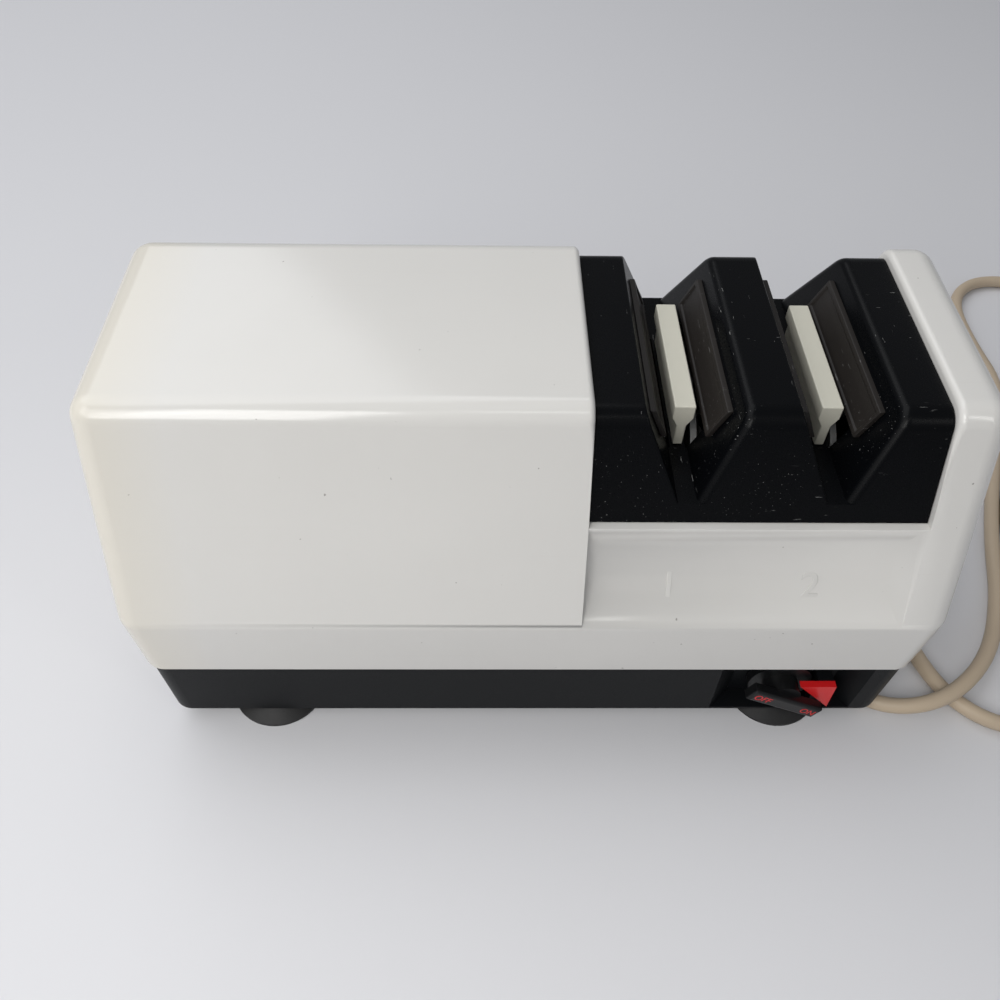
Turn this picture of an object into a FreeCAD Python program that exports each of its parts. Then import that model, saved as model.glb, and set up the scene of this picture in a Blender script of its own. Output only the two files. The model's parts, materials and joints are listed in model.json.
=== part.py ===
"""Two-stage electric knife sharpener: parametric model in millimetres.

X runs along the body to the right, -Y is the front, +Z is up. The origin is the
centre of the footprint on the surface that the four suction feet stand on.
"""
import FreeCAD, Part
import Sketcher
import math
import os
import re

doc = FreeCAD.newDocument("knife_sharpener")

# Driving dimensions: name, value in millimetres, what it is
SIZES = [
    ("body_length", 214.0, "cover, end to end"),
    ("bend_depth", 105.8, "cover, front to back at the bend"),
    ("skirt_depth", 102.2, "cover, front to back at its lower edge"),
    ("crown_depth", 63.6, "flat top, front to back"),
    ("crown_height", 113.0, "top of the cover above the table"),
    ("bend_height", 56.0, "bend of the front and back faces"),
    ("skirt_height", 32.0, "lower edge of the cover"),
    ("cover_wall", 3.0, "wall of the cover"),
    ("cover_round", 6.5, "rounding of the outer edges"),
    ("end_wall", 13.5, "solid end block to the right of the bay"),
    ("bay_length", 82.0, "bay for the guide module, along the length"),
    ("bay_floor", 84.0, "lip under the guide module"),
    ("fit_gap", 0.3, "clearance between shells"),
    ("scoop_depth", 5.0, "depth of the scooped panel"),
    ("tray_bottom", 6.0, "underside of the base"),
    ("tray_wall", 2.8, "wall and floor of the base"),
    ("tray_inset", 0.8, "base edge inside the cover edge"),
    ("tray_draft", 1.5, "taper of the base walls, degrees"),
    ("tray_round", 6.0, "rounding of the base corners"),
    ("vent_pitch", 6.0, "spacing of the cooling slots"),
    ("vent_width", 3.0, "width of a cooling slot"),
    ("vent_reach", 18.0, "half length of a cooling slot"),
    ("foot_radius", 14.0, "suction cup rim"),
    ("foot_inset_x", 31.0, "feet from the ends of the body"),
    ("foot_inset_y", 12.6, "feet from the front and the back"),
    ("foot_neck", 3.0, "neck of a foot"),
    ("shaft_height", 66.0, "motor axis above the table"),
    ("shaft_radius", 3.0, "drive shaft"),
    ("run_gap", 0.05, "radial running clearance on the shaft"),
    ("module_drop", 2.5, "top of the guide module under the crown"),
    ("module_wall", 2.5, "wall of the guide module"),
    ("first_stage", 23.3, "first notch from the left side of the bay"),
    ("stage_pitch", 35.6, "spacing of the notches"),
    ("notch_half", 11.75, "half width of a notch at the top"),
    ("notch_foot", 2.3, "half width of a notch at its floor"),
    ("notch_sill", 5.0, "floor of a notch above the lip"),
    ("rim_round", 2.5, "rounding of a notch's right rim"),
    ("window_reach", 20.5, "half length of a disk window in a notch wall"),
    ("bar_half", 2.6, "half width of a centre guide's head"),
    ("bar_stem", 1.2, "half width of a centre guide's stem"),
    ("bar_height", 13.0, "height of a centre guide"),
    ("bar_head", 6.5, "height of a centre guide's head with its shoulder"),
    ("bar_reach", 19.5, "half length of a centre guide"),
    ("plate_thick", 1.4, "magnet guide plate"),
    ("plate_start", 8.5, "lower edge of a magnet plate above the notch floor"),
    ("plate_height", 8.5, "height of a magnet plate"),
    ("plate_reach", 25.0, "half length of a magnet plate"),
    ("disk_radius", 28.0, "grinding disk"),
    ("disk_offset", 3.8, "back of a disk from the middle of its notch"),
    ("disk_sheet", 1.6, "thickness of a disk"),
    ("disk_dish", 3.6, "depth of a disk's cone"),
    ("disk_hub", 7.0, "hub radius of a disk"),
    ("hub_length", 8.5, "length from a disk's rim plane to its hub's end"),
    ("hub_seat", 16.0, "radius where the cone meets the web"),
    ("pin_radius", 1.0, "drive pin"),
    ("pin_reach", 6.0, "half length of a drive pin"),
    ("pin_gap", 0.1, "hub to drive pin"),
    ("spring_coil", 5.6, "mean radius of a disk spring"),
    ("spring_wire", 0.45, "wire radius of a disk spring"),
    ("stack_inset", 46.0, "stator stack from the left end of the body"),
    ("stack_length", 32.0, "length of the stator stack"),
    ("stack_half", 32.0, "half width of the stator"),
    ("stack_below", 44.0, "stator below the motor axis"),
    ("stack_above", 26.0, "stator above the motor axis"),
    ("bore_radius", 16.2, "stator bore"),
    ("air_gap", 0.5, "rotor to bore"),
    ("window_half", 20.0, "half width of the coil window"),
    ("window_drop", 32.0, "floor of the coil window below the motor axis"),
    ("window_height", 12.0, "height of the coil window"),
    ("bobbin_wall", 1.2, "wall of the coil bobbin"),
    ("coil_overhang", 8.0, "coil beyond the stack"),
    ("bracket_stand", 6.0, "leg length of a bearing bracket"),
    ("bracket_plate", 3.0, "plate of a bearing bracket"),
    ("bracket_foot", 3.5, "half width of a bracket's leg"),
    ("bracket_rise", 6.5, "half height of a bearing bracket"),
    ("boss_radius", 8.5, "bearing boss"),
    ("bearing_radius", 5.5, "outside of a sleeve bearing"),
    ("bearing_length", 8.0, "length of a sleeve bearing"),
    ("bolt_radius", 2.0, "motor through bolt"),
    ("bolt_reach", 27.0, "motor bolts from the axis"),
    ("bolt_gap", 0.15, "clearance around a bolt"),
    ("fan_radius", 26.0, "cooling fan"),
    ("fan_width", 9.0, "width of the fan"),
    ("fan_stand", 27.0, "left face of the fan from the stator stack"),
    ("post_inset", 6.0, "left face of the end bearing post from the bay's right side"),
    ("post_width", 4.5, "end bearing post along the shaft"),
    ("knob_inset", 33.5, "switch axis from the right end of the body"),
    ("knob_rise", 10.5, "switch axis above the underside of the base"),
    ("knob_radius", 9.2, "skirt of the switch knob"),
    ("knob_length", 10.7, "switch grip in front of the recess floor"),
    ("knob_boss", 5.0, "radius of the boss between the knob's skirt and its grip"),
    ("grip_depth", 3.2, "grip bar, front to back"),
    ("grip_half", 2.5, "half width of the grip bar"),
    ("grip_reach", 12.3, "half length of the grip bar"),
    ("grip_tilt", -28.0, "grip turned from level, degrees"),
    ("mark_face", 1.0, "front of the red mark behind the front of the base"),
    ("mark_thick", 2.0, "thickness of the red mark"),
    ("recess_inset", 12.0, "switch recess from the right end of the body"),
    ("recess_length", 38.5, "switch recess along the length"),
    ("recess_depth", 7.6, "depth of the switch recess"),
    ("recess_slant", 4.0, "slant of the recess's side walls"),
    ("cord_radius", 2.4, "mains lead"),
    ("exit_inset", 37.0, "strain relief from the right end of the body"),
    ("exit_rise", 12.0, "strain relief above the underside of the base"),
    ("relief_length", 23.0, "strain relief outside the wall"),
    ("coil_x", 25.0, "middle of the put-away coil"),
    ("coil_y", 103.0, "middle of the put-away coil"),
    ("coil_radius", 33.0, "outer turn of the coil at its middle line"),
    ("coil_pitch", 5.6, "spacing of the turns side by side"),
    ("coil_layer", 5.4, "spacing of the two layers"),
    ("coil_lead", 6.0, "straight start of the coil"),
    ("plug_lead", 27.0, "straight end of the coil, to the plug"),
    ("plug_length", 28.0, "plug body"),
    ("plug_half", 8.5, "half width of the plug"),
    ("blade_length", 17.0, "plug blades"),
    ("blade_reach", 6.35, "plug blades from the middle of the plug"),
    ("screw_inset_x", 10.0, "base screws from the ends of the body"),
    ("screw_inset_y", 15.1, "base screws from the front and the back"),
    ("screw_boss", 3.8, "radius of a screw boss"),
    ("screw_radius", 1.5, "base screw"),
]

# Places that follow from the sizes
PLACES = [
    ("lean", "(bend_depth - crown_depth) / 2 / (crown_height - bend_height)", "slope of the front and back faces"),
    ("bay_right", "body_length/2 - end_wall", "right side of the bay"),
    ("bay_left", "bay_right - bay_length", "left side of the bay"),
    ("module_top", "crown_height - module_drop", "top of the guide module"),
    ("notch_one", "bay_left + first_stage", "middle of the first notch"),
    ("notch_two", "notch_one + stage_pitch", "middle of the second notch"),
    ("notch_floor", "bay_floor + notch_sill", "floor of a notch"),
    ("bar_top", "notch_floor + bar_height", "top of a centre guide"),
    ("bar_neck", "bar_top - bar_head", "where a centre guide's head meets its stem"),
    ("plate_low", "notch_floor + plate_start", "lower edge of a magnet plate"),
    ("plate_high", "plate_low + plate_height", "upper edge of a magnet plate"),
    ("stack_left", "stack_inset - body_length/2", "left face of the stator stack"),
    ("stack_low", "shaft_height - stack_below", "lower face of the stator"),
    ("stack_high", "shaft_height + stack_above", "upper face of the stator"),
    ("window_low", "shaft_height - window_drop", "floor of the coil window"),
    ("window_high", "window_low + window_height", "roof of the coil window"),
    ("fan_place", "stack_left - fan_stand", "left face of the fan"),
    ("post_place", "bay_right - post_inset", "left face of the end bearing post"),
    ("foot_reach_x", "body_length/2 - foot_inset_x", "feet from the middle along the length"),
    ("foot_reach_y", "skirt_depth/2 - foot_inset_y", "feet from the middle along the depth"),
    ("screw_reach_x", "body_length/2 - screw_inset_x", "base screws from the middle along the length"),
    ("screw_reach_y", "skirt_depth/2 - screw_inset_y", "base screws from the middle along the depth"),
    ("floor_top", "tray_bottom + tray_wall", "inside of the base's floor"),
    ("recess_right", "body_length/2 - recess_inset", "right side of the switch recess"),
    ("recess_left", "recess_right - recess_length", "left side of the switch recess"),
    ("recess_floor", "skirt_depth/2 - recess_depth", "back of the switch recess from the middle"),
    ("knob_x", "body_length/2 - knob_inset", "switch axis along the length"),
    ("knob_z", "tray_bottom + knob_rise", "switch axis above the table"),
    ("knob_nose", "recess_floor + knob_length", "front of the switch grip from the middle"),
    ("cord_exit_x", "body_length/2 - exit_inset", "strain relief along the length"),
    ("cord_exit_z", "tray_bottom + exit_rise", "strain relief above the table"),
    ("rear_wall", "skirt_depth/2 - tray_inset", "outside of the base's rear wall"),
]

sheet = doc.addObject("Spreadsheet::Sheet", "Sizes")
for row, (alias, value, meaning) in enumerate(SIZES + PLACES, start=1):
    sheet.set(f"A{row}", alias)
    sheet.set(f"B{row}", f"={value}")
    sheet.setAlias(f"B{row}", alias)
    sheet.set(f"C{row}", meaning)
doc.recompute()
ALIASES = {alias for alias, value, meaning in SIZES + PLACES}


def size(alias):
    """Read one driving dimension from the sheet."""
    return float(sheet.get(alias))


def link(formula):
    """Point the names in a formula at the sheet."""
    return re.sub(r"[a-z][a-z_]*", lambda m: "Sizes." + m.group() if m.group() in ALIASES else m.group(), formula)


def bind(thing, **formulas):
    """Bind properties, with double underscores for dots, to formulas."""
    for name, formula in formulas.items():
        thing.setExpression(name.replace("__", "."), link(formula))


# Sketches and features

PLANES = {"XY": "XY_Plane", "XZ": "XZ_Plane", "YZ": "YZ_Plane"}


def new_body(label):
    """Start one named piece."""
    body = doc.addObject("PartDesign::Body", label)
    body.Label = label
    return body


def place(body, x="0", y="0", z="0", axis=None, turn=None):
    """Move a body, and turn it about an axis through its own origin."""
    if axis:
        body.Placement.Rotation = FreeCAD.Rotation(FreeCAD.Vector(*axis), 1.0)
        bind(body, Placement__Rotation__Angle=turn)
    bind(body, Placement__Base__x=x, Placement__Base__y=y, Placement__Base__z=z)


def add_sketch(body, plane, level, outlines):
    """Draw closed outlines on a plane at a level along its normal.

    An outline is a list of (across, up) formulas, or ("circle", across, up, radius).
    """
    sketch = body.newObject("Sketcher::SketchObject", f"{body.Name}_sketch")
    role = PLANES[plane]
    support = next(part for part in body.Origin.OriginFeatures if part.Role == role)
    sketch.AttachmentSupport = [(support, "")]
    sketch.MapMode = "FlatFace"
    bind(sketch, AttachmentOffset__Base__z=level)
    for outline in outlines:
        if outline[0] == "circle":
            draw_circle(sketch, *outline[1:])
        else:
            draw_polygon(sketch, outline)
    return sketch


def dimension(sketch, kind, *where, formula):
    """Add one dimension and tie it to the sheet."""
    number = sketch.addConstraint(Sketcher.Constraint(kind, *where, 1.0))
    sketch.setExpression(f"Constraints[{number}]", link(formula))


def draw_circle(sketch, across, up, radius):
    """Draw a circle by its middle and radius."""
    circle = sketch.addGeometry(Part.Circle(FreeCAD.Vector(1, 1, 0), FreeCAD.Vector(0, 0, 1), 2))
    dimension(sketch, "DistanceX", -1, 1, circle, 3, formula=across)
    dimension(sketch, "DistanceY", -1, 1, circle, 3, formula=up)
    dimension(sketch, "Radius", circle, formula=radius)


def draw_polygon(sketch, corners):
    """Draw a closed polygon through corners given as pairs of formulas."""
    count = len(corners)
    spots = [FreeCAD.Vector(math.cos(math.tau * i / count), math.sin(math.tau * i / count), 0) for i in range(count)]
    lines = [sketch.addGeometry(Part.LineSegment(spots[i], spots[(i + 1) % count])) for i in range(count)]
    for i, (across, up) in enumerate(corners):
        sketch.addConstraint(Sketcher.Constraint("Coincident", lines[i - 1], 2, lines[i], 1))
        dimension(sketch, "DistanceX", -1, 1, lines[i], 1, formula=across)
        dimension(sketch, "DistanceY", -1, 1, lines[i], 1, formula=up)


def add_pad(body, plane, low, high, outlines, taper=None):
    """Raise outlines from low to high along X, Y or Z."""
    level = f"-({high})" if plane == "XZ" else low
    pad = body.newObject("PartDesign::Pad", f"{body.Name}_pad")
    pad.Profile = add_sketch(body, plane, level, outlines)
    bind(pad, Length=f"({high}) - ({low})")
    if taper:
        bind(pad, TaperAngle=taper)
    return pad


def add_pocket(body, plane, low, high, outlines):
    """Cut outlines away from low to high along X, Y or Z."""
    level = f"-({low})" if plane == "XZ" else high
    pocket = body.newObject("PartDesign::Pocket", f"{body.Name}_pocket")
    pocket.Profile = add_sketch(body, plane, level, outlines)
    bind(pocket, Length=f"({high}) - ({low})")
    return pocket


def add_turned(body, outlines, axis="H_Axis", plane="XY", kind="PartDesign::Revolution"):
    """Turn outlines about an axis of their sketch."""
    turned = body.newObject(kind, f"{body.Name}_turned")
    sketch = add_sketch(body, plane, "0", outlines)
    turned.Profile = sketch
    turned.ReferenceAxis = (sketch, [axis])
    turned.Angle = 360.0
    return turned


def box(x_low, x_high, y_low, y_high):
    """Corners of a rectangle, as formulas."""
    return [(x_low, y_low), (x_high, y_low), (x_high, y_high), (x_low, y_high)]


def add_fillet(body, radius, wanted):
    """Round the edges of the tip that a test picks."""
    doc.recompute()
    tip = body.Tip
    names = [f"Edge{i}" for i, edge in enumerate(tip.Shape.Edges, start=1) if wanted(edge)]
    fillet = body.newObject("PartDesign::Fillet", f"{body.Name}_fillet")
    fillet.Base = (tip, names)
    bind(fillet, Radius=radius)
    return fillet


def join(label, parts):
    """Join solids into one named piece."""
    piece = doc.addObject("Part::MultiFuse", label)
    piece.Shapes = parts
    piece.Label = label


def mid(edge):
    """Middle point of an edge."""
    return edge.BoundBox.Center


# The white cover

def profile(inset_skirt, inset_bend, inset_crown, low, top):
    """Six-sided outline of the body seen from its end, drawn in by the insets."""
    half = [(f"-({depth})/2 + {inset}", z) for depth, inset, z in (
        ("skirt_depth", inset_skirt, low),
        ("bend_depth", inset_bend, "bend_height"),
        ("crown_depth", inset_crown, top))]
    other = [(f"({depth})/2 - {inset}", z) for depth, inset, z in (
        ("crown_depth", inset_crown, top),
        ("bend_depth", inset_bend, "bend_height"),
        ("skirt_depth", inset_skirt, low))]
    return half + other


def make_cover():
    """Outer shell: hollow motor side, bay for the guide module, end wall."""
    blank = new_body("cover_blank")
    add_pad(blank, "YZ", "-body_length/2", "body_length/2", [profile("0", "0", "0", "skirt_height", "crown_height")])
    low = size("skirt_height")
    add_fillet(blank, "cover_round", lambda edge: mid(edge).z > low + 1.0)
    inner = profile("cover_wall", "cover_wall", "cover_wall", "skirt_height - 1", "crown_height - cover_wall")
    add_pocket(blank, "YZ", "-body_length/2 + cover_wall", "bay_left - cover_wall", [inner])
    add_pocket(blank, "YZ", "bay_right + cover_wall", "body_length/2 - cover_wall", [inner])
    add_pocket(blank, "YZ", "bay_left", "bay_right",
               [box("-bend_depth", "bend_depth", "bay_floor", "crown_height + 5")])
    neck = "bay_floor + 1"
    under = [("-skirt_depth/2 + cover_wall", "skirt_height - 1"), ("-bend_depth/2 + cover_wall", "bend_height - 4"),
             ("-bend_depth/2 + cover_wall + 10.5", "bend_height + 6"), ("-crown_depth/2 - 6", neck),
             ("crown_depth/2 + 6", neck), ("bend_depth/2 - cover_wall - 10.5", "bend_height + 6"),
             ("bend_depth/2 - cover_wall", "bend_height - 4"), ("skirt_depth/2 - cover_wall", "skirt_height - 1")]
    add_pocket(blank, "YZ", "bay_left", "bay_right", [under])
    passage = box("-shaft_radius - 9", "shaft_radius + 9", "skirt_height - 1", "shaft_height + 10")
    add_pocket(blank, "YZ", "bay_left - cover_wall - 1", "bay_left + 1", [passage])
    boss_top = "bend_height + (bend_depth/2 - screw_reach_y - screw_boss)/lean - cover_wall"
    for x in ("-screw_reach_x", "screw_reach_x"):
        for y in ("-screw_reach_y", "screw_reach_y"):
            add_pad(blank, "XY", "floor_top + 3", boss_top, [("circle", x, y, "screw_boss")])
            add_pocket(blank, "XY", "tray_bottom", "tray_bottom + 24", [("circle", x, y, "screw_radius")])
    doc.recompute()
    cover = blank
    for side in (-1, 1):
        cover = cut_scoop(cover, side)
    cover.Label = "upper_cover"
    return cover


def cut_scoop(cover, side):
    """Scoop the sloping face under the guide module, with leaning end walls."""
    rise = "(bay_floor - bend_height)"
    chord = f"({rise} * sqrt(1 + lean^2))"
    swing = f"(({chord}/2)^2 + scoop_depth^2) / (2*scoop_depth)"
    roller = doc.addObject("Part::Cylinder", "scoop_roller")
    roller.Placement = FreeCAD.Placement(FreeCAD.Vector(), FreeCAD.Rotation(FreeCAD.Vector(0, 1, 0), 90))
    bind(roller, Radius=swing, Height="bay_right - bay_left",
         Placement__Base__x="bay_left",
         Placement__Base__y=f"{side} * ((bend_depth/2 - lean*{rise}/2) + ({swing} - scoop_depth)/sqrt(1 + lean^2))",
         Placement__Base__z=f"(bend_height + bay_floor)/2 + ({swing} - scoop_depth)*lean/sqrt(1 + lean^2)")
    wedge = doc.addObject("Part::Wedge", "scoop_ends")
    reach = "(2*scoop_depth)"
    bind(wedge, Xmin="bay_left", Xmax=f"bay_right + {reach}", X2min="bay_left", X2max="bay_right - 2*scoop_depth",
         Ymin=f"-{reach}", Ymax="2*scoop_depth", Zmin=f"-{chord}", Zmax=f"2*{chord}", Z2min=f"-{chord}", Z2max=f"2*{chord}")
    wedge.Placement.Rotation = FreeCAD.Rotation(FreeCAD.Vector(1, 0, 0), 1.0)
    bind(wedge, Placement__Rotation__Angle=f"-atan(lean)", Placement__Base__y="-bend_depth/2",
         Placement__Base__z="bend_height")
    ends = wedge
    if side > 0:
        ends = doc.addObject("Part::Mirroring", "scoop_ends_back")
        ends.Source = wedge
        ends.Normal = (0, 1, 0)
    tool = doc.addObject("Part::Common", "scoop_tool")
    tool.Base = roller
    tool.Tool = ends
    cut = doc.addObject("Part::Cut", "scooped_cover")
    cut.Base = cover
    cut.Tool = tool
    return cut


# The base

def make_tray():
    """Charcoal base: drafted tray with the switch recess, vents and screw bosses."""
    body = new_body("base_tray")
    half_x = "body_length/2 - tray_inset"
    half_y = "rear_wall"
    level = "skirt_height - fit_gap"
    pad = body.newObject("PartDesign::Pad", "tray_block")
    pad.Profile = add_sketch(body, "XY", level, [box(f"-({half_x})", half_x, f"-({half_y})", half_y)])
    bind(pad, Length=f"{level} - tray_bottom", TaperAngle="-tray_draft")
    pad.Reversed = True
    low, high = size("tray_bottom"), size("skirt_height") - size("fit_gap")
    add_fillet(body, "tray_round", lambda edge: low + 1 < mid(edge).z < high - 1)
    wall_x = f"{half_x} - tray_wall"
    wall_y = f"{half_y} - tray_wall"
    add_pocket(body, "XY", "floor_top", level, [box(f"-({wall_x})", wall_x, f"-({wall_y})", wall_y)])
    pocket_back = "-recess_floor + tray_wall"
    add_pad(body, "XZ", f"-({wall_y}) - 1", pocket_back,
            [box("recess_left - tray_wall - recess_slant", "recess_right + tray_wall", "tray_bottom + 0.5", level)])
    recess = [("recess_left - recess_slant", "-skirt_depth/2"), ("recess_right + recess_slant/2", "-skirt_depth/2"),
              ("recess_right - recess_slant", "-recess_floor"), ("recess_left + recess_slant", "-recess_floor")]
    add_pocket(body, "XY", "knob_z - knob_radius - 0.4", "skirt_height + 1", [recess])
    add_pad(body, "XZ", "mark_face + mark_thick - skirt_depth/2 + 0.02", "-recess_floor + 1",
            [box("knob_x + knob_radius + 1", "knob_x + knob_radius + 5.5", "tray_bottom + 0.5", "knob_z + 3.5")])
    add_pocket(body, "XZ", "-recess_floor - 1", "-recess_floor + tray_wall + 1",
               [("circle", "knob_x", "knob_z", "shaft_radius + 0.4")])
    for side in (-1, 1):
        rest = box("stack_left", "stack_left + stack_length", f"{side}*(stack_half - 4) - 4", f"{side}*(stack_half - 4) + 4")
        add_pad(body, "XY", "floor_top - 0.5", "stack_low", [rest])
    for x in ("-screw_reach_x", "screw_reach_x"):
        for y in ("-screw_reach_y", "screw_reach_y"):
            add_pad(body, "XY", "tray_bottom + 0.5", "floor_top + 2.7", [("circle", x, y, "screw_boss")])
            add_pocket(body, "XY", "tray_bottom - 1", "tray_bottom + 10", [("circle", x, y, "screw_radius + 0.2")])
            add_pocket(body, "XY", "tray_bottom - 1", "tray_bottom + 2.2", [("circle", x, y, "screw_radius*2 + 0.2")])
    corners = [(sx, sy) for sx in (-1, 1) for sy in (-1, 1)]
    for radius, low, high in (("foot_neck + 0.2", "tray_bottom - 1", "floor_top + 1"),
                              ("foot_neck + 1.3", "floor_top", "floor_top + 2.7")):
        add_pocket(body, "XY", low, high,
                   [("circle", f"{sx}*foot_reach_x", f"{sy}*foot_reach_y", radius) for sx, sy in corners])
    starts = [f"stack_left - 21 + vent_pitch*{i}" for i in range(3)]
    starts += [f"stack_left + stack_length + 13 + vent_pitch*{i}" for i in range(4)]
    vents = [box(start, f"{start} + vent_width", "-vent_reach", "vent_reach") for start in starts]
    add_pocket(body, "XY", "tray_bottom - 1", "floor_top + 1", vents)
    add_pocket(body, "XZ", f"{wall_y} - 3", f"{half_y} + 2",
               [("circle", "cord_exit_x", "cord_exit_z", "cord_radius + 2.1")])
    return body


def make_feet():
    """Four rubber suction feet, pressed through the floor of the base."""
    outline = [("0", "3.2"), ("3", "3.2"), ("foot_radius - 0.9", "0"), ("foot_radius", "0"), ("foot_radius", "0.9"),
               ("foot_radius - 5", "3.6"), ("foot_neck + 3", "tray_bottom - 0.05"), ("foot_neck", "tray_bottom - 0.05"),
               ("foot_neck", "floor_top + 0.1"), ("foot_neck + 1", "floor_top + 0.1"),
               ("foot_neck - 0.5", "floor_top + 2.4"), ("0", "floor_top + 2.4")]
    for depth, sy in (("front", -1), ("rear", 1)):
        for side, sx in (("left", -1), ("right", 1)):
            body = new_body(f"suction_foot_{depth}_{side}")
            add_turned(body, [outline], axis="V_Axis", plane="XZ")
            place(body, f"{sx}*foot_reach_x", f"{sy}*foot_reach_y", "0")


def make_base_screws():
    """Four screws from below into the bosses of the cover."""
    parts = []
    for sx, sy in [(sx, sy) for sx in (-1, 1) for sy in (-1, 1)]:
        for radius, height, low in (("screw_radius - 0.05", "18", "tray_bottom + 2.2"),
                                    ("screw_radius*2", "1.8", "tray_bottom + 0.4")):
            part = doc.addObject("Part::Cylinder", "screw_part")
            bind(part, Radius=radius, Height=height, Placement__Base__x=f"{sx}*screw_reach_x",
                 Placement__Base__y=f"{sy}*screw_reach_y", Placement__Base__z=low)
            parts.append(part)
    join("base_screws", parts)


# The guide module

def notch(middle):
    """Outline of one V notch, seen from the front."""
    return [(f"{middle} - notch_foot", "notch_floor"), (f"{middle} + notch_foot", "notch_floor"),
            (f"{middle} + notch_half", "module_top"), (f"{middle} + notch_half", "module_top + 5"),
            (f"{middle} - notch_half", "module_top + 5"), (f"{middle} - notch_half", "module_top")]


def make_module():
    """Black module: sloping front and back, hollow under its two V notches."""
    body = new_body("guide_housing")
    low = "bay_floor + fit_gap"
    foot_y = f"(bend_depth/2 - lean*({low} - bend_height) - 1.8)"
    top_y = f"(bend_depth/2 - lean*(module_top - bend_height) - 2)"
    add_pad(body, "YZ", "bay_left + fit_gap", "bay_right - fit_gap",
            [[(f"-{foot_y}", low), (f"{foot_y}", low), (top_y, "module_top"), (f"-{top_y}", "module_top")]])
    top = size("module_top")
    add_fillet(body, "cover_round - 1", lambda edge: mid(edge).z > top - 0.5 and abs(mid(edge).y) > 1)
    left, right, roof = "bay_left + fit_gap + module_wall", "bay_right - fit_gap - module_wall", "module_top - module_wall"
    hollow = [(left, f"{low} - 1"), (left, roof)]
    for middle in ("notch_one", "notch_two"):
        hollow += [(f"{middle} - notch_half - module_wall", roof), (f"{middle} - notch_foot - module_wall", "notch_floor - module_wall"),
                   (f"{middle} + notch_foot + module_wall", "notch_floor - module_wall"), (f"{middle} + notch_half + module_wall", roof)]
    hollow += [(right, roof), (right, f"{low} - 1")]
    add_pocket(body, "XZ", "-crown_depth/2 + 4.5", "crown_depth/2 - 4.5", [hollow])
    for middle in ("notch_one", "notch_two"):
        add_pocket(body, "XZ", "-bend_depth", "bend_depth", [notch(middle)])
        for side in (-1, 1):
            window = box(f"{middle} + {side}*5.05 - 3.15", f"{middle} + {side}*5.05 + 3.15",
                         "bay_floor - 2", "plate_low - 0.5")
            add_pocket(body, "XZ", "-window_reach", "window_reach", [window])
    add_fillet(body, "rim_round", lambda edge: is_notch_rim(edge, 1))
    add_fillet(body, "rim_round/4", lambda edge: is_notch_rim(edge, -1))


def is_notch_rim(edge, sign):
    """True for the long top edge of a notch on one side of it."""
    spot = mid(edge)
    rims = [size(name) + sign*size("notch_half") for name in ("notch_one", "notch_two")]
    long_edge = edge.BoundBox.YLength > 30 and edge.BoundBox.XLength < 0.1
    return long_edge and abs(spot.z - size("module_top")) < 0.1 and any(abs(spot.x - rim) < 0.1 for rim in rims)


def make_centre_guides():
    """Cream centre bars that stand on the notch floors."""
    for number, middle in ((1, "notch_one"), (2, "notch_two")):
        body = new_body(f"center_guide_{number}")
        outline = [("-bar_stem", "notch_floor + 0.05"), ("bar_stem", "notch_floor + 0.05"), ("bar_stem", "bar_neck"),
                   ("bar_half", "bar_neck + 2.5"), ("bar_half", "bar_top"), ("-bar_half", "bar_top"),
                   ("-bar_half", "bar_neck + 2.5"), ("-bar_stem", "bar_neck")]
        add_pad(body, "XZ", "-bar_reach", "bar_reach", [outline])
        top = size("bar_top")
        add_fillet(body, "1.2", lambda edge: mid(edge).z > top - 0.5)
        place(body, middle, "0", "0")


def make_magnet_guides():
    """Dark plates on the slanted walls of the notches."""
    slope = "((notch_half - notch_foot)/(module_top - notch_floor))"
    for number, middle in ((1, "notch_one"), (2, "notch_two")):
        for side, sign in (("left", -1), ("right", 1)):
            body = new_body(f"magnet_guide_{number}_{side}")
            low = f"(notch_foot + {slope}*(plate_low - notch_floor) - 0.05)"
            high = f"(notch_foot + {slope}*(plate_high - notch_floor) - 0.05)"
            outline = [(f"{sign}*{low}", "plate_low"), (f"{sign}*{high}", "plate_high"),
                       (f"{sign}*({high} - plate_thick)", "plate_high"), (f"{sign}*({low} - plate_thick)", "plate_low")]
            add_pad(body, "XZ", "-plate_reach", "plate_reach", [outline])
            place(body, middle, "0", "0")


# The motor and its shaft

def make_stator():
    """Laminated stack with the rotor bore, coil window and bolt holes."""
    body = new_body("motor_stator")
    add_pad(body, "YZ", "stack_left", "stack_left + stack_length", [box("-stack_half", "stack_half", "stack_low", "stack_high")])
    holes = [("circle", "0", "shaft_height", "bore_radius"), box("-window_half", "window_half", "window_low", "window_high"),
             ("circle", "-bolt_reach", "shaft_height", "bolt_radius + bolt_gap"),
             ("circle", "bolt_reach", "shaft_height", "bolt_radius + bolt_gap")]
    add_pocket(body, "YZ", "stack_left - 1", "stack_left + stack_length + 1", holes)


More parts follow.
